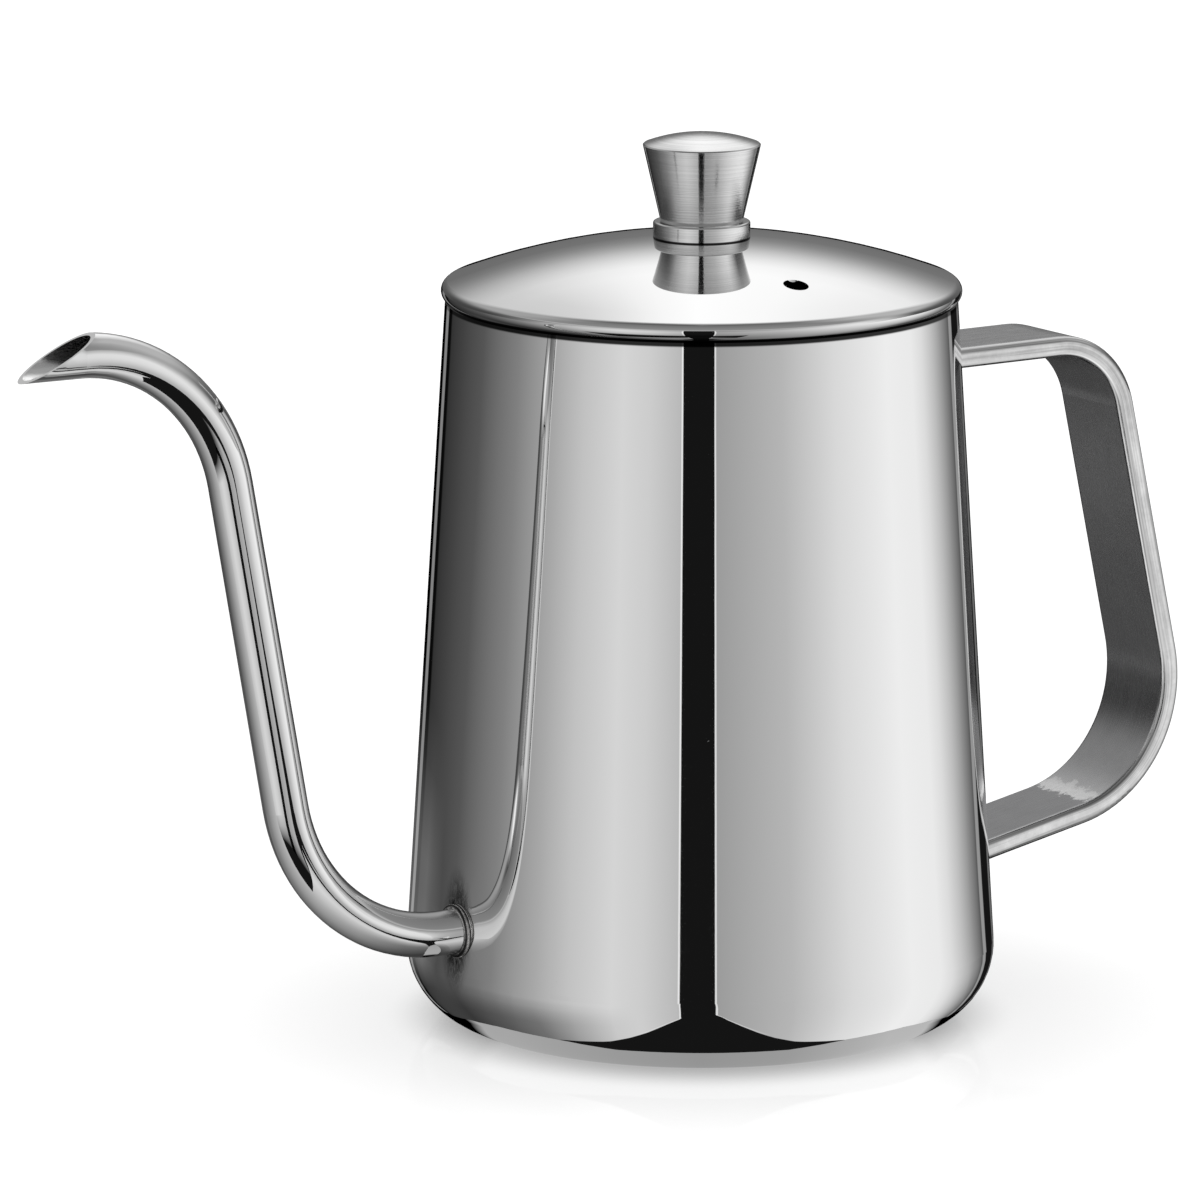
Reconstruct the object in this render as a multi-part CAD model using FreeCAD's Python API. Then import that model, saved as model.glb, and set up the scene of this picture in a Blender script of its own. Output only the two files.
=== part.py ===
import FreeCAD, Part
import math
import os

# Gooseneck pour-over kettle in polished stainless steel. Millimetres, +Z up.
# Origin at the middle of the base, on the surface that the kettle stands on.
# The spout points along -X and the handle along +X.

V = FreeCAD.Vector

# Body: a tapered drum with a rounded foot and a welded-in base
BODY_HEIGHT = 114.0          # floor to the mouth rim
FOOT_LINE_RADIUS = 46.8      # straight side carried down to the floor
MOUTH_RADIUS = 39.76         # outside of the wall at the rim
FOOT_ROUND = 11.9            # outside rounding of the foot
BODY_WALL = 0.8
RIM_ROUND = 0.25             # broken edges of the mouth rim
BASE_SEAM_RADIUS = 31.0      # where the side is turned in and meets the base plate
BASE_PLATE = 0.9             # thickness of the base plate
BASE_RING = 3.5              # width of the base plate's flat standing ring
BASE_RECESS = 1.4            # height of the raised middle above the floor
BASE_RECESS_SLOPE = 4.0      # width of the slope up to the raised middle

# Lid: a pressed dome with its edge rolled under, and a sleeve that drops into the mouth
LID_RADIUS = 40.4            # widest point of the rolled edge
LID_RISE = 9.8               # mouth rim to the top of the dome
LID_SHEET = 0.7
LID_EDGE_ROUND = 1.5         # outside rounding of the rolled edge
LID_EDGE_RISE = 1.3          # mouth rim to the middle of the rolled edge
SLEEVE_DEPTH = 10.5          # below the mouth rim
SLEEVE_WALL = 0.6
SLEEVE_PLAY = 0.5            # sleeve to the inside of the mouth
SLEEVE_FLANGE = 4.5          # width of the sleeve's weld flange under the dome
VENT_BORE = 3.9
VENT_REACH = 28.5            # kettle axis to the vent
VENT_TURN = -94.0            # degrees from +X

# Knob: a turned inverted cone on a collar, held by a screw from below
COLLAR_RADIUS = 7.55
COLLAR_HEIGHT = 2.3          # top of the dome to the top of the collar
COLLAR_EDGE = 0.35
KNOB_FOOT_RADIUS = 6.4
KNOB_RIM_RADIUS = 9.14
KNOB_RIM_HEIGHT = 12.1       # top of the collar to the rim
KNOB_CROWN = 1.6             # rise of the low domed top
KNOB_RIM_EDGE = 0.2
SCREW_SIZE = 4.0
SCREW_GRIP = 7.0             # length of the screw inside the knob
SCREW_TIP_ROOM = 1.0
SCREW_HEAD_RADIUS = 3.8
SCREW_HEAD_HEIGHT = 2.4
SCREW_HEAD_EDGE = 0.9
SCREW_SLOT_WIDTH = 1.0
SCREW_SLOT_DEPTH = 1.1
SCREW_PLAY = 0.2             # screw to the holes in the lid, the collar and the washer
WASHER_RADIUS = 6.0
WASHER_THICKNESS = 0.8

# Spout: a tube drawn thinner towards its tip, bent twice in the XZ plane
SPOUT_ROOT_HEIGHT = 19.2
SPOUT_STUB = 2.8             # wall to the start of the lower bend
SPOUT_LOWER_BEND = 28.5
SPOUT_LEAN = 10.44           # degrees that the straight run leans outwards
SPOUT_UPPER_BEND = 27.2
SPOUT_TOP_HEIGHT = 115.76    # middle of the tube over the upper bend
SPOUT_LIP_LENGTH = 9.8       # upper bend to the point of the lip
SPOUT_ROOT_RADIUS = 3.52
SPOUT_NECK_RADIUS = 3.42     # from the top of the straight run
SPOUT_TIP_RADIUS = 3.27
SPOUT_WALL = 0.45
SPOUT_CUT_ANGLE = 27.0       # slant of the mouth to the level tip
SPOUT_INSET = 1.0            # tube end inside the wall
WELD_WIDTH = 0.75            # weld bead beyond the tube

# Handle: a flat strap bent in the XZ plane, both ends welded to the wall
STRAP_WIDTH = 16.0
STRAP_THICKNESS = 3.25
STRAP_EDGE = 1.05            # rounding along the strap's edges
HANDLE_TOP_HEIGHT = 102.8    # upper face of the upper arm
HANDLE_UPPER_BEND = 15.0     # outside of the bend
HANDLE_UPPER_REACH = 63.45   # kettle axis to the start of the upper bend
HANDLE_LEAN = 12.5           # degrees that the grip leans outwards on its way down
HANDLE_LOWER_BEND = 22.5
HANDLE_FOOT_HEIGHT = 18.72   # lower face of the lower arm, at the wall
HANDLE_FOOT_RISE = 10.8      # degrees that the lower arm rises outwards

# Fits between pieces that are welded or screwed together
WELD_FIT = 0.02
THREAD_FIT = 0.05

SIDE_TILT = math.atan2(FOOT_LINE_RADIUS - MOUTH_RADIUS, BODY_HEIGHT)
UP = V(0, 0, 1)
ORIGIN = V(0, 0, 0)


def point(r, z):
    """A point of the XZ half plane, at radius r and height z."""
    return V(r, 0, z)


def line(a, b):
    return Part.LineSegment(a, b).toShape()


def arc(a, middle, b):
    return Part.Arc(a, middle, b).toShape()


def polar(centre, radius, degrees):
    """The point at an angle from +X, turning towards +Z, on a circle in the XZ plane."""
    turn = math.radians(degrees)
    return V(centre.x + radius * math.cos(turn), 0, centre.z + radius * math.sin(turn))


def arc_about(centre, radius, start, end):
    """An arc in the XZ plane between two angles in degrees."""
    middle = polar(centre, radius, (start + end) / 2)
    return arc(polar(centre, radius, start), middle, polar(centre, radius, end))


def turned(edges):
    """The solid that a closed outline in the XZ plane makes when it turns about the kettle's axis."""
    return Part.Face(Part.Wire(edges)).revolve(ORIGIN, UP, 360)


def wall_radius(z, inset=0.0):
    """Radius of the straight side at height z, inset from the outside."""
    return FOOT_LINE_RADIUS - z * math.tan(SIDE_TILT) - inset / math.cos(SIDE_TILT)


def foot_centre():
    """Middle of the foot's rounding, which every inset of the body shares."""
    r = wall_radius(FOOT_ROUND, FOOT_ROUND)
    return point(r, FOOT_ROUND)


def side_outline(inset, foot_radius, top):
    """Edges along the floor from foot_radius, round the foot and up the side, inset from the outside."""
    centre = foot_centre()
    radius = FOOT_ROUND - inset
    tilt = math.degrees(SIDE_TILT)
    floor_start = point(foot_radius, inset)
    floor_end = point(centre.x, inset)
    side_start = polar(centre, radius, tilt)
    return [
        line(floor_start, floor_end),
        arc_about(centre, radius, -90, tilt),
        line(side_start, point(wall_radius(top, inset), top)),
    ]


def body_envelope(inset):
    """The body filled solid, inset from the outside, or grown by a negative inset."""
    edges = side_outline(inset, 0, BODY_HEIGHT)
    start = edges[0].firstVertex().Point
    end = edges[-1].lastVertex().Point
    corner = point(0, BODY_HEIGHT)
    return turned(edges + [line(end, corner), line(corner, start)])


def body_shell():
    outer = side_outline(0, BASE_SEAM_RADIUS, BODY_HEIGHT - RIM_ROUND)
    inner = side_outline(BODY_WALL, BASE_SEAM_RADIUS, BODY_HEIGHT - RIM_ROUND)
    outer_top = outer[-1].lastVertex().Point
    inner_top = inner[-1].lastVertex().Point
    rim_outer = point(outer_top.x - RIM_ROUND, BODY_HEIGHT)
    rim_inner = point(inner_top.x + RIM_ROUND, BODY_HEIGHT)
    rim = [
        line(outer_top, rim_outer),
        line(rim_outer, rim_inner),
        line(rim_inner, inner_top),
    ]
    seam = line(inner[0].firstVertex().Point, outer[0].firstVertex().Point)
    shell = turned(outer + rim + inner[::-1] + [seam])
    return shell.cut(spout_rod(WELD_FIT))


def base_plate():
    """A pressed disc: a flat ring to stand on and a raised middle."""
    edge = BASE_SEAM_RADIUS - WELD_FIT
    ring_inner = edge - BASE_RING
    middle = ring_inner - BASE_RECESS_SLOPE
    lower = [point(edge, 0), point(ring_inner, 0), point(middle, BASE_RECESS), point(0, BASE_RECESS)]
    upper = [p + V(0, 0, BASE_PLATE) for p in lower]
    outline = lower + upper[::-1]
    return turned([line(a, b) for a, b in zip(outline, outline[1:] + outline[:1])])


def spout_path():
    """Ends, bend centres and radii of the spout's middle line, from the wall to the tip."""
    lean = math.radians(SPOUT_LEAN)
    root = V(-wall_radius(SPOUT_ROOT_HEIGHT) + BODY_WALL + SPOUT_INSET, 0, SPOUT_ROOT_HEIGHT)
    low_start = V(-wall_radius(SPOUT_ROOT_HEIGHT) - SPOUT_STUB, 0, SPOUT_ROOT_HEIGHT)
    low_centre = low_start + V(0, 0, SPOUT_LOWER_BEND)
    low_end = polar(low_centre, SPOUT_LOWER_BEND, 180 + SPOUT_LEAN)
    high_centre_height = SPOUT_TOP_HEIGHT - SPOUT_UPPER_BEND
    high_start_height = high_centre_height + SPOUT_UPPER_BEND * math.sin(lean)
    run = (high_start_height - low_end.z) / math.cos(lean)
    high_start = low_end + V(-math.sin(lean), 0, math.cos(lean)) * run
    high_centre = high_start - V(math.cos(lean), 0, math.sin(lean)) * SPOUT_UPPER_BEND
    high_end = high_centre + V(0, 0, SPOUT_UPPER_BEND)
    tip = high_end - V(SPOUT_LIP_LENGTH, 0, 0)
    return root, low_start, low_centre, low_end, high_start, high_centre, high_end, tip


def rod(start, end, start_radius, end_radius):
    """A straight round bar or a tapered one."""
    along = end - start
    if start_radius == end_radius:
        return Part.makeCylinder(start_radius, along.Length, start, along)
    return Part.makeCone(start_radius, end_radius, along.Length, start, along)


def bent_rod(start, direction, centre, radius, axis, degrees):
    """A round bar that leaves start along direction and turns about a centre."""
    section = Part.Face(Part.Wire(Part.Circle(start, direction, radius).toShape()))
    return section.revolve(centre, axis, degrees)


def spout_rod(growth):
    """The spout's outside as a solid bar, grown on its radius."""
    root, low_start, low_centre, low_end, high_start, high_centre, high_end, tip = spout_path()
    root_radius = SPOUT_ROOT_RADIUS + growth
    neck_radius = SPOUT_NECK_RADIUS + growth
    tip_radius = SPOUT_TIP_RADIUS + growth
    turn = 90 - SPOUT_LEAN
    outwards = V(-1, 0, 0)
    run = high_start - low_end
    pieces = [
        bent_rod(low_start, outwards, low_centre, root_radius, V(0, 1, 0), turn),
        rod(low_end, high_start, root_radius, neck_radius),
        bent_rod(high_start, run, high_centre, neck_radius, V(0, -1, 0), turn),
        rod(high_end, tip, neck_radius, tip_radius),
    ]
    stub = rod(root, low_start, root_radius, root_radius)
    return stub.fuse(pieces).removeSplitter()


def spout_tube():
    """The tube with its bore, and its mouth cut on a slant with the long lip below."""
    tip = spout_path()[-1]
    lip = tip - V(0, 0, SPOUT_TIP_RADIUS)
    tube = spout_rod(0).cut(spout_rod(-SPOUT_WALL))
    room = 10 * SPOUT_ROOT_RADIUS
    cutter = Part.makeBox(room, room, room, V(-room / 2, -room / 2, 0))
    cutter.rotate(ORIGIN, V(0, 1, 0), -SPOUT_CUT_ANGLE)
    cutter.translate(lip)
    return tube.cut(cutter)


def spout_weld_bead():
    """The ring of weld round the spout's root, lying in the corner between the tube and the wall."""
    middle = V(-wall_radius(SPOUT_ROOT_HEIGHT), 0, SPOUT_ROOT_HEIGHT)
    ring = Part.makeTorus(SPOUT_ROOT_RADIUS, WELD_WIDTH, middle, V(1, 0, 0))
    return ring.cut([body_envelope(-WELD_FIT), spout_rod(WELD_FIT)])


def handle_outline():
    """The strap's outside line and its inside line, each from the upper arm to the lower arm."""
    lean = 90 - HANDLE_LEAN
    upper_centre = point(HANDLE_UPPER_REACH, HANDLE_TOP_HEIGHT - HANDLE_UPPER_BEND)
    grip_start = polar(upper_centre, HANDLE_UPPER_BEND, HANDLE_LEAN)
    foot_turn = HANDLE_FOOT_RISE - 90
    foot = point(wall_radius(HANDLE_FOOT_HEIGHT), HANDLE_FOOT_HEIGHT)
    down = polar(ORIGIN, 1, -lean)
    grip_inwards = polar(ORIGIN, 1, 180 + HANDLE_LEAN)
    foot_inwards = polar(ORIGIN, 1, foot_turn + 180)
    # The lower bend touches both the grip and the lower arm, so its middle lies one
    # bend radius inside each of the two lines
    grip_line = grip_start + grip_inwards * HANDLE_LOWER_BEND
    foot_line = foot + foot_inwards * HANDLE_LOWER_BEND
    outwards = polar(ORIGIN, 1, HANDLE_FOOT_RISE)
    gap = foot_line - grip_line
    run = (gap.x * outwards.z - gap.z * outwards.x) / (down.x * outwards.z - down.z * outwards.x)
    lower_centre = grip_line + down * run

    def side(inset):
        upper = HANDLE_UPPER_BEND - inset
        lower = HANDLE_LOWER_BEND - inset
        start = point(0, HANDLE_TOP_HEIGHT - inset)
        end = foot + foot_inwards * inset - outwards * foot.x
        return [
            line(start, polar(upper_centre, upper, 90)),
            arc_about(upper_centre, upper, 90, HANDLE_LEAN),
            line(polar(upper_centre, upper, HANDLE_LEAN), polar(lower_centre, lower, HANDLE_LEAN)),
            arc_about(lower_centre, lower, HANDLE_LEAN, foot_turn),
            line(polar(lower_centre, lower, foot_turn), end),
        ]

    return side(0), side(STRAP_THICKNESS)


def handle_strap():
    outer, inner = handle_outline()
    top = line(inner[0].firstVertex().Point, outer[0].firstVertex().Point)
    bottom = line(outer[-1].lastVertex().Point, inner[-1].lastVertex().Point)
    face = Part.Face(Part.Wire(outer + [bottom] + inner[::-1] + [top]))
    face.translate(V(0, -STRAP_WIDTH / 2, 0))
    strap = face.extrude(V(0, STRAP_WIDTH, 0))
    half = STRAP_WIDTH / 2
    rims = [e for e in strap.Edges if abs(abs(e.CenterOfMass.y) - half) < STRAP_EDGE / 2]
    long_rims = [e for e in rims if e.Length > STRAP_THICKNESS * 1.01]
    strap = strap.makeFillet(STRAP_EDGE, long_rims)
    return strap.cut(body_envelope(-WELD_FIT))


def lid_centres():
    """Middle of the rolled edge, and middle and radius of the dome that runs smoothly into it."""
    edge = point(LID_RADIUS - LID_EDGE_ROUND, BODY_HEIGHT + LID_EDGE_RISE)
    rise = LID_RISE - LID_EDGE_RISE
    radius = (edge.x ** 2 + rise ** 2 - LID_EDGE_ROUND ** 2) / (2 * (rise - LID_EDGE_ROUND))
    dome = point(0, BODY_HEIGHT + LID_RISE - radius)
    return edge, dome, radius


def dome_height(r, depth):
    """Height of the dome at radius r, depth below its outside."""
    centre, radius = lid_centres()[1:]
    return centre.z + math.sqrt((radius - depth) ** 2 - r ** 2)


def dome_angle(r, depth):
    """Angle from +X of the dome's point at radius r, seen from the dome's middle."""
    radius = lid_centres()[2]
    return math.degrees(math.acos(r / (radius - depth)))


def lid_dome():
    edge, centre, radius = lid_centres()
    hole = SCREW_SIZE / 2 + SCREW_PLAY
    touch = math.degrees(math.atan2(edge.z - centre.z, edge.x))
    under = -math.degrees(math.asin(LID_EDGE_RISE / LID_EDGE_ROUND))
    hem = point(edge.x, BODY_HEIGHT)
    inner_radius = radius - LID_SHEET
    inner_round = LID_EDGE_ROUND - LID_SHEET
    outside = [
        arc_about(centre, radius, dome_angle(hole, 0), touch),
        arc_about(edge, LID_EDGE_ROUND, touch, under),
        line(polar(edge, LID_EDGE_ROUND, under), hem),
        line(hem, polar(edge, inner_round, -90)),
    ]
    inside = [
        arc_about(edge, inner_round, -90, touch),
        arc_about(centre, inner_radius, touch, dome_angle(hole, LID_SHEET)),
        line(point(hole, dome_height(hole, LID_SHEET)), point(hole, dome_height(hole, 0))),
    ]
    lid = turned(outside + inside)
    turn = math.radians(VENT_TURN)
    place = V(VENT_REACH * math.cos(turn), VENT_REACH * math.sin(turn), BODY_HEIGHT)
    return lid.cut(Part.makeCylinder(VENT_BORE / 2, 2 * LID_RISE, place, UP))


def lid_sleeve():
    """A thin sleeve that centres the lid in the mouth, with a flange welded under the dome."""
    outer = wall_radius(BODY_HEIGHT, BODY_WALL) - SLEEVE_PLAY
    inner = outer - SLEEVE_WALL
    bottom = BODY_HEIGHT - SLEEVE_DEPTH
    top_depth = LID_SHEET + WELD_FIT
    low_depth = top_depth + SLEEVE_WALL
    flange = outer - SLEEVE_FLANGE
    centre, radius = lid_centres()[1:]
    upper = arc_about(centre, radius - top_depth, dome_angle(outer, top_depth), dome_angle(flange, top_depth))
    lower = arc_about(centre, radius - low_depth, dome_angle(flange, low_depth), dome_angle(inner, low_depth))
    return turned([
        line(point(inner, bottom), point(outer, bottom)),
        line(point(outer, bottom), point(outer, dome_height(outer, top_depth))),
        upper,
        line(point(flange, dome_height(flange, top_depth)), point(flange, dome_height(flange, low_depth))),
        lower,
        line(point(inner, dome_height(inner, low_depth)), point(inner, bottom)),
    ])


def collar_top():
    return BODY_HEIGHT + LID_RISE + COLLAR_HEIGHT


def knob_collar():
    """A turned ring between the dome and the knob, hollowed below to fit the dome."""
    hole = SCREW_SIZE / 2 + SCREW_PLAY
    lift = -WELD_FIT
    centre, radius = lid_centres()[1:]
    top = collar_top()
    return turned([
        arc_about(centre, radius + WELD_FIT, dome_angle(hole, lift), dome_angle(COLLAR_RADIUS, lift)),
        line(point(COLLAR_RADIUS, dome_height(COLLAR_RADIUS, lift)), point(COLLAR_RADIUS, top - COLLAR_EDGE)),
        arc_about(point(COLLAR_RADIUS - COLLAR_EDGE, top - COLLAR_EDGE), COLLAR_EDGE, 0, 90),
        line(point(COLLAR_RADIUS - COLLAR_EDGE, top), point(hole, top)),
        line(point(hole, top), point(hole, dome_height(hole, lift))),
    ])


def lid_knob():
    """An inverted cone with a low crown, drilled from below for the screw."""
    hole = SCREW_SIZE / 2 + THREAD_FIT
    foot = collar_top()
    rim = foot + KNOB_RIM_HEIGHT
    crown = rim + KNOB_CROWN
    drilled = foot + SCREW_GRIP + SCREW_TIP_ROOM
    crown_edge = KNOB_RIM_RADIUS - KNOB_RIM_EDGE
    crown_radius = (crown_edge ** 2 + KNOB_CROWN ** 2) / (2 * KNOB_CROWN)
    crown_centre = point(0, crown - crown_radius)
    edge_angle = math.degrees(math.acos(crown_edge / crown_radius))
    return turned([
        line(point(hole, foot), point(KNOB_FOOT_RADIUS, foot)),
        line(point(KNOB_FOOT_RADIUS, foot), point(KNOB_RIM_RADIUS, rim - KNOB_RIM_EDGE)),
        line(point(KNOB_RIM_RADIUS, rim - KNOB_RIM_EDGE), point(crown_edge, rim)),
        arc_about(crown_centre, crown_radius, edge_angle, 90),
        line(point(0, crown), point(0, drilled)),
        line(point(0, drilled), point(hole, drilled)),
        line(point(hole, drilled), point(hole, foot)),
    ])


def washer_top():
    """The flat washer touches the hollow of the dome along its upper edge."""
    return dome_height(WASHER_RADIUS, LID_SHEET) - WELD_FIT


def knob_washer():
    hole = SCREW_SIZE / 2 + SCREW_PLAY
    bottom = V(0, 0, washer_top() - WASHER_THICKNESS)
    disc = Part.makeCylinder(WASHER_RADIUS, WASHER_THICKNESS, bottom, UP)
    return disc.cut(Part.makeCylinder(hole, WASHER_THICKNESS, bottom, UP))


def knob_screw():
    """A slotted pan-head screw, put in from inside the lid."""
    seat = washer_top() - WASHER_THICKNESS
    end = collar_top() + SCREW_GRIP
    head_bottom = seat - SCREW_HEAD_HEIGHT
    shank = SCREW_SIZE / 2
    edge = SCREW_HEAD_RADIUS - SCREW_HEAD_EDGE
    screw = turned([
        line(point(0, head_bottom), point(edge, head_bottom)),
        arc_about(point(edge, head_bottom + SCREW_HEAD_EDGE), SCREW_HEAD_EDGE, -90, 0),
        line(point(SCREW_HEAD_RADIUS, head_bottom + SCREW_HEAD_EDGE), point(SCREW_HEAD_RADIUS, seat)),
        line(point(SCREW_HEAD_RADIUS, seat), point(shank, seat)),
        line(point(shank, seat), point(shank, end)),
        line(point(shank, end), point(0, end)),
        line(point(0, end), point(0, head_bottom)),
    ])
    corner = V(-SCREW_HEAD_RADIUS, -SCREW_SLOT_WIDTH / 2, head_bottom - SCREW_SLOT_DEPTH)
    slot = Part.makeBox(2 * SCREW_HEAD_RADIUS, SCREW_SLOT_WIDTH, 2 * SCREW_SLOT_DEPTH, corner)
    return screw.cut(slot)


NODES = {
    "body_shell": body_shell,
    "base_plate": base_plate,
    "spout_tube": spout_tube,
    "spout_weld_bead": spout_weld_bead,
    "handle_strap": handle_strap,
    "lid_dome": lid_dome,
    "lid_sleeve": lid_sleeve,
    "knob_collar": knob_collar,
    "lid_knob": lid_knob,
    "knob_washer": knob_washer,
    "knob_screw": knob_screw,
}

os.makedirs("parts", exist_ok=True)
for name, make in NODES.items():
    shape = make()
    if len(shape.Solids) == 1:
        shape = shape.Solids[0]
    box = shape.BoundBox
    print(name, "valid" if shape.isValid() else "NOT VALID", len(shape.Solids), "solid(s)",
          "volume %.1f" % shape.Volume,
          "x %.2f..%.2f y %.2f..%.2f z %.2f..%.2f" % (
              box.XMin, box.XMax, box.YMin, box.YMax, box.ZMin, box.ZMax))
    shape.exportStep("parts/%s.step" % name)
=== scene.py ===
import bpy
import math
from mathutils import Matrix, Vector

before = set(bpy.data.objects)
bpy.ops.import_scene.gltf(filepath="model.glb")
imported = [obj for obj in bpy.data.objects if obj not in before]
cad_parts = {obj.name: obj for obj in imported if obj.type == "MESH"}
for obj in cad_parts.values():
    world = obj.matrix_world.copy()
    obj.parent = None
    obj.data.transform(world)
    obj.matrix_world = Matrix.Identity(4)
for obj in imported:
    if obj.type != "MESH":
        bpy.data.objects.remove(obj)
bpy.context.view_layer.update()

# Lengths are in metres and angles in degrees. A turn goes to the right of the camera, round the
# kettle's axis. A scale is the number of cloud steps per metre along X, Y and Z. A spread gives the
# low and high value that come in, and what goes out for each of the two.

# Camera of the photograph, in the part's frame
VIEW_AZIMUTH = -33.7
VIEW_ELEVATION = 11.38
VIEW_DISTANCE = 1.530
VIEW_TARGET = Vector((-0.01309, 0.00873, 0.0662))
VIEW_END = 50.0
LENS_MM = 294.4
SENSOR_MM = 36.0

# White floor, by the way out from the kettle's axis
FLOOR_SIZE = 12.0
FLOOR_WHITE = 0.28
FLOOR_LIFT = 0.86            # own light for the camera, which brings the open floor up to white
FLOOR_SHADOW_LIFT = 0.42       # the same close under the foot, lower there as a painted contact shadow
FLOOR_LIFT_START = 0.035
FLOOR_LIFT_END = 0.050
FLOOR_ROUGHNESS = 0.05
FLOOR_GLOSS = 0.19           # share of mirror image at the foot
FLOOR_GLOSS_START = 0.040
FLOOR_GLOSS_END = 0.105

# Tent that the metal mirrors
TENT_RADIUS = 3.0
TENT_SHEET_HEIGHT = -0.0005  # the tent's own floor lies just under the white one
SHEET_COLUMN = 1.0           # degrees from one column of its meshes to the next
ROOF_COLUMN = 2.0
FLAG_LIGHT = 0.008

# Light of the tent's panels by turn
PANEL_STOPS = (
    (-180.0, 0.0), (-163.5, 0.0), (-162.5, 0.24), (-157.0, 0.24), (-156.0, 0.003), (-151.0, 0.003),
    (-149.0, 0.035), (-134.0, 0.058), (-114.0, 0.10), (-89.0, 0.24), (-67.0, 0.44), (-53.0, 0.60),
    (-35.0, 0.74), (-23.0, 0.68), (-11.0, 0.56), (-9.2, 0.54), (-9.0, 0.90), (-8.5, 0.90),
    (-8.3, FLAG_LIGHT), (5.0, FLAG_LIGHT), (5.2, 0.80), (5.7, 0.80), (5.9, 0.37), (35.0, 0.52),
    (60.0, 0.77), (89.0, 0.95), (106.0, 0.92), (114.0, 0.80), (123.0, 0.58), (134.0, 0.30),
    (141.0, 0.16), (143.5, 0.10), (144.5, 0.32), (148.0, 0.32), (149.0, 0.008), (162.0, 0.008),
    (163.0, 0.15), (167.5, 0.15), (168.5, 0.0), (180.0, 0.0),
)

# Round stand under the foot, which the foot mirrors: its light by turn
STAND_RADIUS = 0.0428
STAND_GAP = 0.0001           # from the stand to the tent's floor
STAND_STOPS = (
    (-180.0, 0.0), (-130.0, 0.0), (-118.0, 0.42), (-95.0, 0.42), (-40.0, 0.36), (0.0, 0.33),
    (40.0, 0.36), (95.0, 0.52), (125.0, 0.52), (140.0, 0.0), (180.0, 0.0),
)
# How far it reaches out beyond its radius, by turn on the foot, to either side
STAND_SKIRT = (
    (0.0, 0.0), (20.0, 0.0), (33.0, 0.0016), (50.0, 0.0030), (62.0, 0.0024), (75.0, 0.0),
)

# Dark opening in the tent's floor at the front: how far it reaches out, by turn on the foot
WEDGE_TURN = 33.0
WEDGE_REACH = 0.0062
WEDGE_PEAK = 0.040
WEDGE_PEAK_TURN = 5.0
WEDGE_SHARES = (0.0, 0.5, 1.0)
# The bright hem along it
HEM_TURN = 28.0
HEM_LIGHT = 0.95
HEM_STEPS = (0.0001, 0.0008)

# In front of the spout the tent's floor stops short, with a dark pit between it and an upright panel
PIT_TURNS = (-60.0, 22.0)
PIT_START = 0.045            # out from the stand
PIT_DEPTH = -0.90
FRONT_PANEL_OUT = 1.0
FRONT_PANEL_HEIGHTS = ((-0.74, 0.0), (-0.47, 1.0), (0.12, 1.0))  # and the share of its light
FRONT_PANEL_LAP = 5.0        # degrees that it goes on behind the floor to either side

# Rows of the tent's floor: the first, those up to the pit, and those beyond, which widen
NEAR_START = 0.001
NEAR_ROWS = 12
WIDE_START = 0.05
WIDE_ROWS = 20
WIDE_GROWTH = 1.25

# The floor carries a painted shadow of the spout close to the stand on the spout's side: share of its
# light by way out, and how much of that holds by turn
SPOUT_SHADOW_STOPS = ((0.0, 0.42), (0.008, 0.45), (0.022, 0.80), (0.040, 1.0))
SPOUT_SHADOW_TURNS = ((-140.0, 0.0), (-115.0, 1.0), (-70.0, 1.0), (-25.0, 0.0))

# Dim light on the floor behind the kettle, by way out, which the inside of the handle mirrors
REAR_STOPS = ((0.0, 0.0), (0.02, 0.0), (0.06, 0.14), (0.12, 0.10), (0.15, 0.10), (0.26, 0.0))
REAR_TURN = 125.0
REAR_FADE = 15.0

# Light of the tent's roof by height above the horizon, behind the kettle and in front of it
BACK_STOPS = (
    (0.0, 0.16), (10.0, 0.19), (15.0, 0.27), (19.0, 0.42), (23.0, 0.66), (27.0, 0.90), (30.0, 1.04),
    (34.0, 1.10), (55.0, 1.10), (70.0, 0.40), (90.0, 0.15),
)
FRONT_STOPS = ((0.0, 1.0), (10.0, 1.0), (20.0, 0.75), (30.0, 0.28), (90.0, 0.15))
# The roof is dimmer towards the sides: share of its light by turn to the right of straight back
BACK_SIDE_STOPS = (
    (-40.0, 0.35), (-13.0, 0.62), (-5.0, 0.92), (0.0, 1.0), (9.0, 0.95), (40.0, 0.45),
)
PANEL_TOP = 24.0             # in front the panels go on up to here
BACK_START = 0.35            # way round from straight front, 0, to straight back, 1
BACK_FADE = 0.3
ROOF_RISES = [2.0 * i for i in range(28)] + [60.0, 65.0, 70.0, 75.0, 80.0, 85.0, 90.0]
ROOF_CROWN = 89.9            # where its last row lies

# Mirror polish: hazy clouds, fine hairlines round the piece and a few dull specks, as roughness
HAZE_SCALE = (45.0, 45.0, 45.0)
HAZE_SPREAD = (0.3, 0.7, 0.008, 0.022)
HAIR_SCALE = (70.0, 70.0, 5200.0)
HAIR_SPREAD = (0.55, 0.8, 0.0, 0.02)
SPECK_SCALE = (700.0, 700.0, 700.0)
SPECK_SPREAD = (0.78, 0.84, 0.0, 0.3)
MIRROR_SCALE = (30.0, 30.0, 30.0)
MIRROR_GREYS = ((0.87, 0.87, 0.87), (0.92, 0.92, 0.92))

# Spout: roughness of the bore, whose surface faces the tube's middle plane
BORE_SPREAD = (-0.0003, 0.0, 0.25, 0.0)
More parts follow.
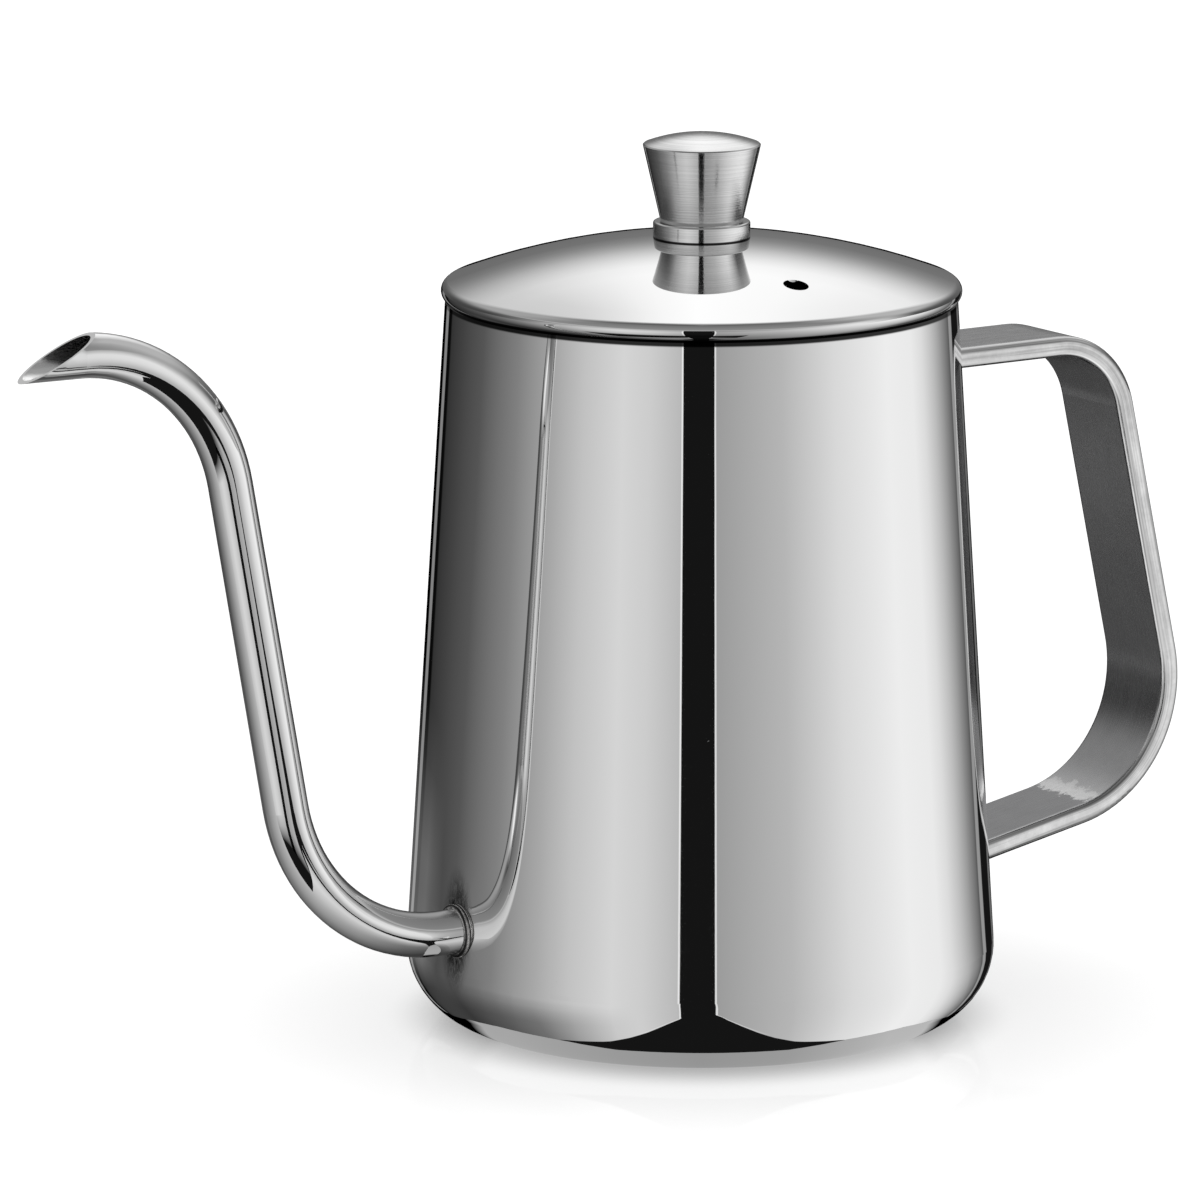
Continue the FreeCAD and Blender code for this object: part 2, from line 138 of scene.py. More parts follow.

# Body: painted shade in the gap under the lid, and the burnt, rubbed wall about the spout's weld
MOUTH_HEIGHT = 0.114
LID_GAP_SHADE_SPREAD = (MOUTH_HEIGHT - 0.0010, MOUTH_HEIGHT - 0.0007)
BODY_GREYS = ((0.89, 0.89, 0.89), (0.03, 0.03, 0.03))
WELD_MIDDLE = (-0.0462, 0.0, 0.0192)
BURN_SHAPE = (1.0, 2.0, 0.85)
BURN_REACH = (0.0038, 0.0094, 1.0, 0.0)
STREAK_SCALE = (700.0, 900.0, 420.0)
STREAK_BURN = (0.32, 0.56, 0.30, 1.0)
STREAK_RUB = (0.3, 0.7, 0.0, 0.28)
STREAK_BUMP = (0.5, 0.0003)  # strength and depth, as for every bump

# Lid: painted shade and a painted dark reflection where its edge is rolled under
ROLL_SHADE_SPREAD = (MOUTH_HEIGHT + 0.0001, MOUTH_HEIGHT + 0.0014, 1.0, 0.0)
LID_GREYS = ((0.90, 0.90, 0.90), (0.04, 0.04, 0.04))

# Strap: grain along it and mottling, as share of its grey and as roughness
GRAIN_SCALE = (160.0, 2600.0, 160.0)
GRAIN_SHARE = (0.2, 0.8, 0.93, 1.0)
GRAIN_ROUGHNESS = (0.2, 0.8, 0.22, 0.32)
GRAIN_BUMP = (0.10, 0.0002)
MOTTLE_SCALE = (260.0, 260.0, 260.0)
MOTTLE_SHARE = (0.3, 0.7, 0.90, 1.0)
STRAP_GREYS = ((0.0, 0.0, 0.004), (0.56, 0.56, 0.565))
# The torn band on the lower arm that is rubbed bright, and the flat side, darker between it and the wall
RUB_MIDDLE = (0.0717, 0.0005, 0.0270)
RUB_SHAPE = (1.0, 0.20, 0.6)
RUB_REACH = (0.0015, 0.0021, 0.82, 0.0)
TEAR_SCALE = (330.0, 420.0, 330.0)
TEAR_SPREAD = (0.3, 0.7, -0.0016, 0.0016)
WALL_SIDE_END = (-0.0010, 0.0, 1.0, 0.0)
WALL_SIDE_TOP = (0.006, 0.010, 1.0, 0.0)
WALL_SIDE_SHARE = (0.0, 1.0, 1.0, 0.42)
# Painted highlights across its rounded edges: greys by how far the surface faces sideways
EDGE_REACH = (0.10, 0.35)
EDGE_HIGHLIGHT_STOPS = (
    (0.10, 0.40), (0.28, 0.48), (0.44, 0.84), (0.60, 0.94), (0.74, 0.50), (0.86, 0.95), (0.95, 0.62),
    (1.0, 0.82),
)
EDGE_POLISH = 0.15           # roughness that the edges lose
# Noise that breaks up the painted highlights on the edges
PATCHY_HIGHLIGHT_SCALE = (110.0, 60.0, 110.0)
PATCHY_HIGHLIGHT_SPREAD = (0.35, 0.65, 0.93, 1.0)
# Its bends: middle, outside radius, and the ways that the straight runs leave them
UPPER_BEND = ((0.06345, 0.0, 0.0878), 0.0150, (-1.0, 0.0, 0.0), (0.2164, 0.0, -0.9763))
LOWER_BEND = ((0.06518, 0.0, 0.04535), 0.0225, (-0.2164, 0.0, 0.9763), (-0.9823, 0.0, -0.1874))
BENDS_APART = (0.0695, 0.0705)
# Fine lines along its edges: steps per metre across and along them, and share of the grey
LINES_ACROSS = 1900.0
LINES_ALONG = 25.0
LINES_SHARE = (0.33, 0.56, 0.62, 1.05)

# Knob, collar, washer and screw: turned rings and pocks, and painted shade in the crease at the collar's
# foot
RING_SCALE = (30.0, 30.0, 7000.0)
RING_SHARE = (0.3, 0.7, 0.75, 1.0)
RING_ROUGHNESS = (0.2, 0.8, 0.09, 0.15)
RING_BUMP = (0.10, 0.0001)
RING_SMEAR = 0.75
RING_SMEAR_TURN = 0.25       # share of a full turn
POCK_SCALE = (1800.0, 1800.0, 1800.0)
POCK_ROUGHNESS = (0.6, 0.8, 0.0, 0.1)
TURNED_GREYS = ((0.04, 0.04, 0.04), (0.93, 0.93, 0.93))
COLLAR_FOOT = (0.0, 0.0, 0.12352)
COLLAR_FOOT_SHADE = (0.000196, 0.00028)

# Weld: ridges round the tube, broken up by lumps
RIDGE_SCALE = (560.0, 90.0, 90.0)
RIDGE_WAVER = 2.2
LUMP_SCALE = (420.0, 700.0, 700.0)
LUMP_SHARE = (0.25, 0.6, 0.2, 1.0)
LUMP_ROUGHNESS = (0.3, 0.7, 0.10, 0.30)
WELD_SPREAD = (0.1, 0.5)
WELD_GREYS = ((0.05, 0.05, 0.05), (0.80, 0.79, 0.78))
WELD_BUMP = (0.9, 0.0006)


def between(stops, where):
    """Straight-line value between (place, value) stops."""
    if where <= stops[0][0]:
        return stops[0][1]
    for (a, low), (b, high) in zip(stops, stops[1:]):
        if where <= b:
            return low + (high - low) * (where - a) / (b - a)
    return stops[-1][1]


def fade(value, start, width):
    """0 up to start, 1 from start and width on, and a straight line in between."""
    return min(max((value - start) / width, 0.0), 1.0)


def studio_point(turn, out, up=0.0):
    """A point by its turn, its way out from the kettle's axis and its height."""
    angle = math.radians(VIEW_AZIMUTH + turn)
    return Vector((math.sin(angle) * out, -math.cos(angle) * out, up))


def new_material(name):
    material = bpy.data.materials.new(name)
    material.use_nodes = True
    tree = material.node_tree
    tree.nodes.clear()
    output = tree.nodes.new("ShaderNodeOutputMaterial")
    return material, tree, output


def add_node(tree, kind, **inputs):
    """A shader node with some of its inputs set by name."""
    node = tree.nodes.new(kind)
    for name, value in inputs.items():
        node.inputs[name.replace("_", " ")].default_value = value
    return node


def ramp(tree, value, low, high, start=0.0, end=1.0, smooth=False):
    """The socket of a value that is spread from low..high to start..end."""
    node = tree.nodes.new("ShaderNodeMapRange")
    if smooth:
        node.interpolation_type = "SMOOTHSTEP"
    node.inputs["From Min"].default_value = low
    node.inputs["From Max"].default_value = high
    node.inputs["To Min"].default_value = start
    node.inputs["To Max"].default_value = end
    tree.links.new(value, node.inputs["Value"])
    return node.outputs["Result"]


def combine(tree, how, a, b):
    """The socket of two values put together, such as MULTIPLY or MAXIMUM. b may be a number."""
    node = tree.nodes.new("ShaderNodeMath")
    node.operation = how
    tree.links.new(a, node.inputs[0])
    if isinstance(b, float):
        node.inputs[1].default_value = b
    else:
        tree.links.new(b, node.inputs[1])
    return node.outputs["Value"]


def absolute(tree, value):
    """The socket of a value without its sign."""
    node = tree.nodes.new("ShaderNodeMath")
    node.operation = "ABSOLUTE"
    tree.links.new(value, node.inputs[0])
    return node.outputs["Value"]


def place(tree, middle=(0.0, 0.0, 0.0), scale=(1.0, 1.0, 1.0)):
    """The socket of the point in the object's own space, measured from middle and then stretched."""
    where = tree.nodes.new("ShaderNodeTexCoord")
    shift = tree.nodes.new("ShaderNodeVectorMath")
    shift.operation = "SUBTRACT"
    shift.inputs[1].default_value = middle
    stretch = tree.nodes.new("ShaderNodeVectorMath")
    stretch.operation = "MULTIPLY"
    stretch.inputs[1].default_value = scale
    tree.links.new(where.outputs["Object"], shift.inputs[0])
    tree.links.new(shift.outputs["Vector"], stretch.inputs[0])
    return stretch.outputs["Vector"]


def clouds(tree, point, detail=4.0, roughness=0.6, distortion=0.0):
    """The socket of a noise at a point."""
    noise = add_node(tree, "ShaderNodeTexNoise", Scale=1.0, Detail=detail, Roughness=roughness)
    noise.inputs["Distortion"].default_value = distortion
    tree.links.new(point, noise.inputs["Vector"])
    return noise.outputs["Fac"]


def distance(tree, point):
    """The socket of a point's way from zero."""
    node = tree.nodes.new("ShaderNodeVectorMath")
    node.operation = "LENGTH"
    tree.links.new(point, node.inputs[0])
    return node.outputs["Value"]


def axes(tree, point):
    """The sockets of a point's X, Y and Z, by name."""
    split = tree.nodes.new("ShaderNodeSeparateXYZ")
    tree.links.new(point, split.inputs["Vector"])
    return split.outputs


def shade(tree, share, greys):
    """The socket of a grey between a first and a second level."""
    first, second = greys
    mix = tree.nodes.new("ShaderNodeMix")
    mix.data_type = "RGBA"
    mix.inputs["A"].default_value = (*first, 1.0)
    mix.inputs["B"].default_value = (*second, 1.0)
    tree.links.new(share, mix.inputs["Factor"])
    return mix.outputs["Result"]


def grey_stops(tree, value, stops):
    """The socket of a grey that runs through (place, level) stops."""
    node = tree.nodes.new("ShaderNodeValToRGB")
    marks = node.color_ramp.elements
    for where, level in stops[1:-1]:
        marks.new(where)
    for mark, (where, level) in zip(marks, stops):
        mark.position = where
        mark.color = (level, level, level, 1.0)
    tree.links.new(value, node.inputs["Fac"])
    return node.outputs["Color"]


def bump(tree, value, strength, depth):
    node = add_node(tree, "ShaderNodeBump", Strength=strength, Distance=depth)
    tree.links.new(value, node.inputs["Height"])
    return node.outputs["Normal"]


def steel_shader(tree, output, colour, roughness, normal=None):
    shader = add_node(tree, "ShaderNodeBsdfPrincipled", Metallic=1.0)
    tree.links.new(colour, shader.inputs["Base Color"])
    tree.links.new(roughness, shader.inputs["Roughness"])
    if normal is not None:
        tree.links.new(normal, shader.inputs["Normal"])
    tree.links.new(shader.outputs["BSDF"], output.inputs["Surface"])
    return shader


def polish(tree):
    """The socket of a mirror polish's roughness."""
    haze = ramp(tree, clouds(tree, place(tree, scale=HAZE_SCALE)), *HAZE_SPREAD)
    hair = ramp(tree, clouds(tree, place(tree, scale=HAIR_SCALE), detail=2.0), *HAIR_SPREAD)
    specks = ramp(tree, clouds(tree, place(tree, scale=SPECK_SCALE), detail=2.0), *SPECK_SPREAD)
    return combine(tree, "ADD", combine(tree, "ADD", haze, hair), specks)


def mirror_grey(tree):
    """The socket of a mirror polish's grey."""
    return shade(tree, clouds(tree, place(tree, scale=MIRROR_SCALE)), MIRROR_GREYS)


def mirror_steel():
    """Mirror-polished steel."""
    material, tree, output = new_material("mirror_steel")
    steel_shader(tree, output, mirror_grey(tree), polish(tree))
    return material


def spout_steel():
    """Mirror polish outside, dull in the bore."""
    material, tree, output = new_material("spout_steel")
    where = tree.nodes.new("ShaderNodeTexCoord")
    point = axes(tree, where.outputs["Object"])
    facing = axes(tree, where.outputs["Normal"])
    outwards = combine(tree, "MULTIPLY", point["Y"], facing["Y"])
    bore = ramp(tree, outwards, *BORE_SPREAD)
    steel_shader(tree, output, mirror_grey(tree), combine(tree, "ADD", polish(tree), bore))
    return material


def body_steel():
    """Mirror polish, with painted shade in the gap under the lid and the burnt, rubbed wall about the
    weld.
    """
    material, tree, output = new_material("body_steel")
    # Painted shade: a dark band round the top of the wall, just under the lid's rolled edge
    lid_gap_shade = ramp(tree, axes(tree, place(tree))["Z"], *LID_GAP_SHADE_SPREAD, smooth=True)
    about = distance(tree, place(tree, WELD_MIDDLE, BURN_SHAPE))
    near = ramp(tree, about, *BURN_REACH, smooth=True)
    streaks = clouds(
        tree, place(tree, WELD_MIDDLE, STREAK_SCALE), detail=6.0, roughness=0.7, distortion=1.5)
    burnt = combine(tree, "MULTIPLY", near, ramp(tree, streaks, *STREAK_BURN))
    colour = shade(tree, combine(tree, "MAXIMUM", lid_gap_shade, burnt), BODY_GREYS)
    rubbed = combine(tree, "MULTIPLY", near, ramp(tree, streaks, *STREAK_RUB))
    roughness = combine(tree, "ADD", polish(tree), rubbed)
    steel_shader(tree, output, colour, roughness, bump(tree, rubbed, *STREAK_BUMP))
    return material


def lid_steel():
    """Mirror polish, with painted shade and a painted dark reflection where the edge is rolled under."""
    material, tree, output = new_material("lid_steel")
    # Painted shade and dark reflection on the underside of the rolled edge
    under = ramp(tree, axes(tree, place(tree))["Z"], *ROLL_SHADE_SPREAD)
    steel_shader(tree, output, shade(tree, under, LID_GREYS), polish(tree))
    return material


def inset(tree, middle, radius, *runs):
    """The socket of the way in from the outside of a bend and of the straight runs that leave it."""
    point = place(tree, middle, (1.0, 0.0, 1.0))
    away = distance(tree, point)
    square = combine(tree, "MULTIPLY", away, away)
    nearest = away
    for run in runs:
        along = tree.nodes.new("ShaderNodeVectorMath")
        along.operation = "DOT_PRODUCT"
        along.inputs[1].default_value = run
        tree.links.new(point, along.inputs[0])
        ahead = combine(tree, "MAXIMUM", along.outputs["Value"], 0.0)
        off = combine(tree, "SUBTRACT", square, combine(tree, "MULTIPLY", ahead, ahead))
        nearest = combine(tree, "MINIMUM", nearest, combine(tree, "POWER", off, 0.5))
    return combine(tree, "ADD", combine(tree, "MULTIPLY", nearest, -1.0), radius)


def strap_lines(tree):
    """The socket of fine lines that run the length of the strap."""
    above = ramp(tree, axes(tree, place(tree))["Z"], *BENDS_APART)
    upper = inset(tree, *UPPER_BEND)
    lower = inset(tree, *LOWER_BEND)
    step = combine(tree, "MULTIPLY", combine(tree, "SUBTRACT", upper, lower), above)
    depth = combine(tree, "MULTIPLY", combine(tree, "ADD", lower, step), LINES_ACROSS)
    along = axes(tree, place(tree, scale=(LINES_ALONG, 1.0, LINES_ALONG)))
    point = tree.nodes.new("ShaderNodeCombineXYZ")
    tree.links.new(along["X"], point.inputs["X"])
    tree.links.new(depth, point.inputs["Y"])
    tree.links.new(along["Z"], point.inputs["Z"])
    return ramp(tree, clouds(tree, point.outputs["Vector"], detail=3.0), *LINES_SHARE)


def strap_wear(tree):
    """The sockets of how bright the strap is rubbed, and of what share of its grey is left towards the
    wall.
    """
    torn = clouds(tree, place(tree, RUB_MIDDLE, TEAR_SCALE), detail=5.0, roughness=0.75)
    tear = ramp(tree, torn, *TEAR_SPREAD)
    about = distance(tree, place(tree, RUB_MIDDLE, RUB_SHAPE))
    rub = ramp(tree, combine(tree, "ADD", about, tear), *RUB_REACH)
    # Darker towards the wall, low on the lower arm
    point = axes(tree, place(tree, RUB_MIDDLE))
    inwards = ramp(tree, combine(tree, "ADD", point["X"], tear), *WALL_SIDE_END)
    low = ramp(tree, point["Z"], *WALL_SIDE_TOP)
    near_wall_share = ramp(tree, combine(tree, "MULTIPLY", inwards, low), *WALL_SIDE_SHARE)
    return rub, near_wall_share


def satin_steel():
    """Satin strap: grain, mottling, darker near the wall on flat sides; lined edges with painted
    highlights; a rubbed band.
    """
    material, tree, output = new_material("satin_steel")
    grain = clouds(tree, place(tree, scale=GRAIN_SCALE), detail=3.0)
    mottle = clouds(tree, place(tree, scale=MOTTLE_SCALE), detail=5.0, roughness=0.65)
    rub, near_wall_share = strap_wear(tree)
    plain = combine(
        tree, "MULTIPLY", ramp(tree, grain, *GRAIN_SHARE), ramp(tree, mottle, *MOTTLE_SHARE))
    flat = shade(tree, combine(tree, "MULTIPLY", plain, near_wall_share), STRAP_GREYS)

    facing = tree.nodes.new("ShaderNodeNewGeometry")
    sideways = absolute(tree, axes(tree, facing.outputs["Normal"])["Y"])
    edge = ramp(tree, sideways, *EDGE_REACH, smooth=True)
    patchy_highlight = clouds(tree, place(tree, scale=PATCHY_HIGHLIGHT_SCALE), detail=5.0, roughness=0.7)
    across = combine(tree, "MINIMUM", sideways, ramp(tree, patchy_highlight, *PATCHY_HIGHLIGHT_SPREAD))
    lined = tree.nodes.new("ShaderNodeMix")
    lined.data_type = "RGBA"
    lined.blend_type = "MULTIPLY"
    lined.inputs["Factor"].default_value = 1.0
    # Painted highlights: bright and dark bands across the edges, by how far they face sideways
    bright = grey_stops(tree, combine(tree, "MAXIMUM", across, rub), EDGE_HIGHLIGHT_STOPS)
    tree.links.new(bright, lined.inputs["A"])
    tree.links.new(combine(tree, "MAXIMUM", strap_lines(tree), rub), lined.inputs["B"])

    mix = tree.nodes.new("ShaderNodeMix")
    mix.data_type = "RGBA"
    tree.links.new(combine(tree, "MAXIMUM", edge, rub), mix.inputs["Factor"])
    tree.links.new(flat, mix.inputs["A"])
    tree.links.new(lined.outputs["Result"], mix.inputs["B"])
    satin = ramp(tree, grain, *GRAIN_ROUGHNESS)
    roughness = combine(tree, "SUBTRACT", satin, combine(tree, "MULTIPLY", edge, EDGE_POLISH))
    steel_shader(tree, output, mix.outputs["Result"], roughness, bump(tree, grain, *GRAIN_BUMP))
    return material


def turned_steel():
    """Turned and lightly brushed: fine rings round the axis, so that images smear up and down only."""
    material, tree, output = new_material("turned_steel")
    rings = clouds(tree, place(tree, scale=RING_SCALE), detail=3.0)
    pocks = clouds(tree, place(tree, scale=POCK_SCALE), detail=2.0)
    # Painted shade: a dark line where the collar meets the lid
    off = absolute(tree, axes(tree, place(tree, COLLAR_FOOT))["Z"])
    clear = ramp(tree, off, *COLLAR_FOOT_SHADE)
    clean = combine(tree, "MULTIPLY", ramp(tree, rings, *RING_SHARE), clear)
    roughness = combine(
        tree, "ADD", ramp(tree, rings, *RING_ROUGHNESS), ramp(tree, pocks, *POCK_ROUGHNESS))
    shader = steel_shader(
        tree, output, shade(tree, clean, TURNED_GREYS), roughness, bump(tree, rings, *RING_BUMP))
    shader.inputs["Anisotropic"].default_value = RING_SMEAR
    shader.inputs["Anisotropic Rotation"].default_value = RING_SMEAR_TURN
    round_axis = tree.nodes.new("ShaderNodeTangent")
    round_axis.direction_type = "RADIAL"
    round_axis.axis = "Z"
    tree.links.new(round_axis.outputs["Tangent"], shader.inputs["Tangent"])
    return material


def weld_steel():
    """Ground weld: ridges round the tube with dark valleys, broken up by lumps."""
    material, tree, output = new_material("weld_steel")
    lumps = clouds(tree, place(tree, WELD_MIDDLE, LUMP_SCALE))
    ridges = add_node(tree, "ShaderNodeTexWave", Scale=1.0, Distortion=RIDGE_WAVER, Detail=2.0)
    ridges.bands_direction = "X"
    tree.links.new(place(tree, WELD_MIDDLE, RIDGE_SCALE), ridges.inputs["Vector"])
    worked = combine(tree, "MULTIPLY", ridges.outputs["Fac"], ramp(tree, lumps, *LUMP_SHARE))
    colour = shade(tree, ramp(tree, worked, *WELD_SPREAD), WELD_GREYS)
    roughness = ramp(tree, lumps, *LUMP_ROUGHNESS)
    steel_shader(tree, output, colour, roughness, bump(tree, worked, *WELD_BUMP))
    return material


def dress(material, *nodes):
    """One material all over some CAD nodes."""
    for node in nodes:
        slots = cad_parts[node].data.materials
        slots.clear()
        slots.append(material)


def add_materials():
    dress(mirror_steel(), "base_plate", "lid_sleeve")
    dress(spout_steel(), "spout_tube")
    dress(body_steel(), "body_shell")
    dress(lid_steel(), "lid_dome")
    dress(satin_steel(), "handle_strap")
    dress(turned_steel(), "lid_knob", "knob_collar", "knob_washer", "knob_screw")
    dress(weld_steel(), "spout_weld_bead")


def add_camera():
    data = bpy.data.cameras.new("camera")
    data.lens = LENS_MM
    data.sensor_width = SENSOR_MM
    data.sensor_fit = "HORIZONTAL"
    data.clip_end = VIEW_END
    camera = bpy.data.objects.new("camera", data)
    rise = math.radians(VIEW_ELEVATION)
    back = studio_point(0.0, math.cos(rise), math.sin(rise))
    camera.location = VIEW_TARGET + back * VIEW_DISTANCE
    camera.rotation_euler = (-back).to_track_quat("-Z", "Y").to_euler()
    bpy.context.scene.collection.objects.link(camera)
    bpy.context.scene.camera = camera


def floor_material():
    """White board, with a faint mirror image that fades out from the kettle."""
    material, tree, output = new_material("studio_floor")
    link = tree.links.new
    board = tree.nodes.new("ShaderNodeBsdfDiffuse")
    board.inputs["Color"].default_value = (FLOOR_WHITE, FLOOR_WHITE, FLOOR_WHITE, 1.0)
    lift = tree.nodes.new("ShaderNodeEmission")
    seen = tree.nodes.new("ShaderNodeLightPath")
    both = tree.nodes.new("ShaderNodeAddShader")
    gloss = add_node(tree, "ShaderNodeBsdfAnisotropic", Roughness=FLOOR_ROUGHNESS)
    mix = tree.nodes.new("ShaderNodeMixShader")
    away = distance(tree, place(tree))
    # Painted contact shadow: the floor's own light is lower close under the foot
    level = ramp(tree, away, FLOOR_LIFT_START, FLOOR_LIFT_END, FLOOR_SHADOW_LIFT, FLOOR_LIFT, True)
    mirrored = ramp(tree, away, FLOOR_GLOSS_START, FLOOR_GLOSS_END, FLOOR_GLOSS, 0.0, True)
    link(combine(tree, "MULTIPLY", level, seen.outputs["Is Camera Ray"]), lift.inputs["Strength"])
    link(board.outputs["BSDF"], both.inputs[0])
    link(lift.outputs["Emission"], both.inputs[1])
    link(mirrored, mix.inputs["Fac"])
    link(both.outputs["Shader"], mix.inputs[1])
    link(gloss.outputs["BSDF"], mix.inputs[2])
    link(mix.outputs["Shader"], output.inputs["Surface"])
    return material


def add_floor():
    mesh = bpy.data.meshes.new("floor")
    half = FLOOR_SIZE / 2
    corners = [(-half, -half, 0), (half, -half, 0), (half, half, 0), (-half, half, 0)]
    mesh.from_pydata(corners, [], [(0, 1, 2, 3)])
    floor = bpy.data.objects.new("floor", mesh)
    mesh.materials.append(floor_material())
    bpy.context.scene.collection.objects.link(floor)
    floor.visible_glossy = False


def tent_material():
    """The panels' light, kept on the mesh."""
    material, tree, output = new_material("tent_panels")
    light = tree.nodes.new("ShaderNodeAttribute")
    light.attribute_name = "light"
    glow = tree.nodes.new("ShaderNodeEmission")
    tree.links.new(light.outputs["Color"], glow.inputs["Color"])
    tree.links.new(glow.outputs["Emission"], output.inputs["Surface"])
    material.cycles.emission_sampling = "NONE"
    return material


def stage_grid(name, rows):
    """A mesh of rows of (point, light), with the light kept as colours, seen only in mirrors."""
    width = len(rows[0])
    points = [point for row in rows for point, light in row]
    faces = []
    for r in range(len(rows) - 1):
        for c in range(width - 1):
            corner = r * width + c
            faces.append((corner, corner + 1, corner + width + 1, corner + width))
    mesh = bpy.data.meshes.new(name)
    mesh.from_pydata(points, [], faces)
    colours = mesh.color_attributes.new("light", "FLOAT_COLOR", "POINT")
    levels = [light for row in rows for point, light in row]
    for colour, level in zip(colours.data, levels):
        colour.color = (level, level, level, 1.0)
    mesh.materials.append(tent_material())
    thing = bpy.data.objects.new(name, mesh)
    bpy.context.scene.collection.objects.link(thing)
    thing.visible_camera = False
    thing.visible_diffuse = False
    thing.visible_shadow = False
    thing.visible_transmission = False


def columns(step, first=-180.0, last=180.0):
    """Turns from first to last: even steps and every stop of the panels."""
    even = [-180.0 + step * i for i in range(int(360.0 / step) + 1)]
    turns = sorted(set(even + [turn for turn, light in PANEL_STOPS]))
    return [turn for turn in turns if first <= turn <= last]


def sheet_point(turn, out):
    """Where the wall's mirror image of a turn meets the tent's floor, by way out from the stand."""
    edge = studio_point(turn / 2, STAND_RADIUS + STAND_GAP)
    return edge + studio_point(turn, out, TENT_SHEET_HEIGHT)


def skirt(turn):
    """How far the stand reaches out beyond its radius."""
    return between(STAND_SKIRT, abs(turn) / 2)


def wedge(turn):
    """How far the dark opening at the front reaches out."""
    side = abs(turn) / 2
    if side >= WEDGE_TURN:
        return 0.0
    peak = WEDGE_PEAK * math.exp(-side / WEDGE_PEAK_TURN)
    return peak + WEDGE_REACH * (1.0 - side / WEDGE_TURN)


def spout_shadow_share(turn, out):
    """Share of the floor's light that is left close to the stand, under the painted shadow of the spout.
    """
    return 1.0 - (1.0 - between(SPOUT_SHADOW_STOPS, out)) * between(SPOUT_SHADOW_TURNS, turn)


def rear_light(turn, out):
    """Extra light near the kettle, behind it."""
    return between(REAR_STOPS, out) * fade(-turn, REAR_TURN, REAR_FADE)


def hem_light(turn):
    """Light of the hem along the dark opening."""
    panel = between(PANEL_STOPS, turn)
    if panel <= FLAG_LIGHT:
        return panel
    return panel + (HEM_LIGHT - panel) * max(1.0 - abs(turn) / HEM_TURN, 0.0)


def sheet_rows(turns, steps):
    """Rows of the tent's floor: the dark opening, its bright hem, and the panels outwards."""
    rows = []
    for share in WEDGE_SHARES:
        rows.append([(sheet_point(turn, skirt(turn) + share * wedge(turn)), FLAG_LIGHT) for turn in turns])
    for step in HEM_STEPS:
        row = []
        for turn in turns:
            out = skirt(turn) + wedge(turn) + step
            row.append((sheet_point(turn, out), hem_light(turn) * spout_shadow_share(turn, step)))
        rows.append(row)
    for step in steps:
        row = []
        for turn in turns:
            out = skirt(turn) + wedge(turn) + step
            light = between(PANEL_STOPS, turn) + rear_light(turn, out)
            row.append((sheet_point(turn, out), light * spout_shadow_share(turn, step)))
        rows.append(row)
    return rows


def add_tent_stand():
    """The round stand, and its skirt."""
    lights = [(turn, between(STAND_STOPS, turn)) for turn in columns(SHEET_COLUMN)]
    rows = []
    for out in (0.0, STAND_RADIUS / 2, STAND_RADIUS):
        rows.append([(studio_point(turn / 2, out, TENT_SHEET_HEIGHT), light) for turn, light in lights])
    rows.append([(sheet_point(turn, skirt(turn)), light) for turn, light in lights])
    stage_grid("tent_stand", rows)


def add_tent_sheets():
    """The lower panels, spread flat. In front they stop short, at the pit."""
    near = [NEAR_START] + [PIT_START * i / NEAR_ROWS for i in range(1, NEAR_ROWS + 1)]
    wide = near + [WIDE_START * WIDE_GROWTH ** i for i in range(WIDE_ROWS)]
    first, last = PIT_TURNS
    stage_grid("tent_left", sheet_rows(columns(SHEET_COLUMN, last=first), wide))
    stage_grid("tent_front", sheet_rows(columns(SHEET_COLUMN, first, last), near))
    stage_grid("tent_right", sheet_rows(columns(SHEET_COLUMN, first=last), wide))


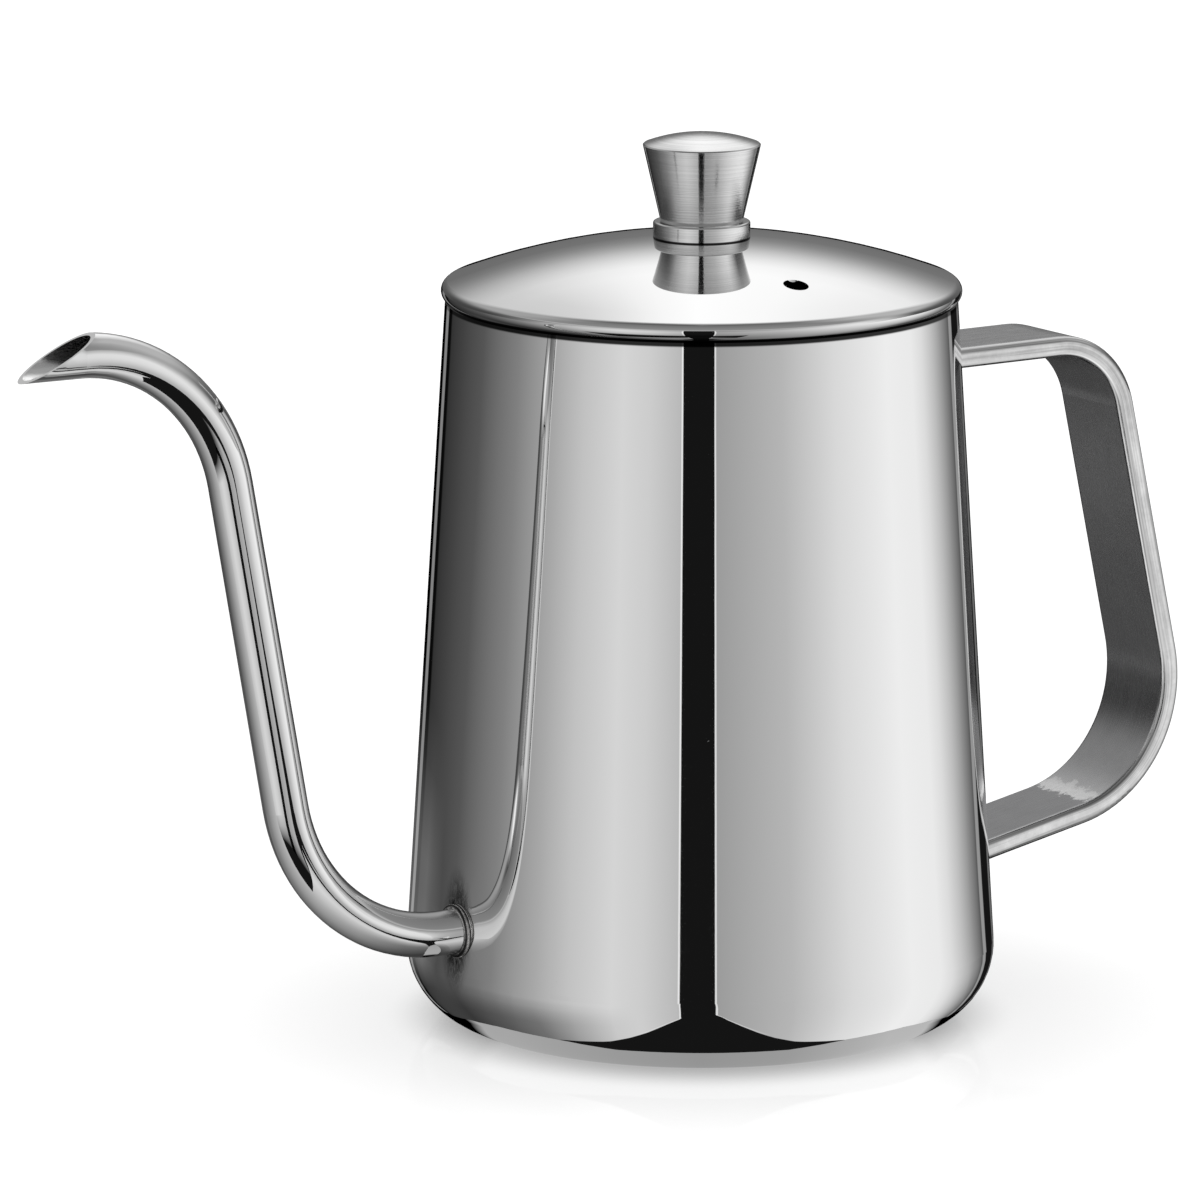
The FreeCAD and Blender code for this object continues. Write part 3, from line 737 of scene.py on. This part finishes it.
def add_tent_front_panel():
    """The upright panel beyond the pit."""
    first, last = PIT_TURNS
    turns = columns(SHEET_COLUMN, first - FRONT_PANEL_LAP, last + FRONT_PANEL_LAP)
    rows = []
    for top, share in FRONT_PANEL_HEIGHTS:
        lift = Vector((0.0, 0.0, top))
        rows.append([
            (sheet_point(turn, FRONT_PANEL_OUT) + lift, between(PANEL_STOPS, turn) * share)
            for turn in turns
        ])
    stage_grid("tent_front_panel", rows)


def add_tent_behind():
    """The strip of floor straight behind the stand, between the left and the right panels."""
    sides = (studio_point(90.0, -STAND_RADIUS), studio_point(90.0, STAND_RADIUS))
    rows = []
    for out in [out for out, light in REAR_STOPS] + [TENT_RADIUS]:
        middle = studio_point(180.0, out, TENT_SHEET_HEIGHT)
        rows.append([(middle + side, rear_light(-180.0, out)) for side in sides])
    stage_grid("tent_behind", rows)


def add_tent_pit():
    """The dark floor under all."""
    half = FLOOR_SIZE / 2
    rows = [[(Vector((x, y, PIT_DEPTH)), FLAG_LIGHT) for x in (-half, half)] for y in (-half, half)]
    stage_grid("tent_pit", rows)


def roof_light(turn, rise):
    """Light of the tent above the horizon."""
    front = between(FRONT_STOPS, rise)
    if rise < PANEL_TOP:
        front *= between(PANEL_STOPS, turn)
    right_of_back = math.copysign(180.0, turn) - turn
    back = between(BACK_STOPS, rise) * between(BACK_SIDE_STOPS, right_of_back)
    way_round = 0.5 - 0.5 * math.cos(math.radians(turn))
    share = fade(way_round, BACK_START, BACK_FADE)
    return back * share + front * (1.0 - share)


def add_tent_roof():
    turns = columns(ROOF_COLUMN)
    rows = []
    for rise in ROOF_RISES:
        up = math.radians(min(rise, ROOF_CROWN))
        out = TENT_RADIUS * math.cos(up)
        top = TENT_RADIUS * math.sin(up)
        rows.append([(studio_point(turn, out, top), roof_light(turn, rise)) for turn in turns])
    stage_grid("tent_roof", rows)


def add_world():
    world = bpy.data.worlds.new("studio")
    bpy.context.scene.world = world
    world.use_nodes = True
    background = world.node_tree.nodes["Background"]
    background.inputs["Color"].default_value = (1.0, 1.0, 1.0, 1.0)
    background.inputs["Strength"].default_value = 1.0


bpy.context.scene.view_settings.view_transform = "Standard"
add_camera()
add_world()
add_floor()
add_tent_stand()
add_tent_sheets()
add_tent_front_panel()
add_tent_behind()
add_tent_pit()
add_tent_roof()
add_materials()
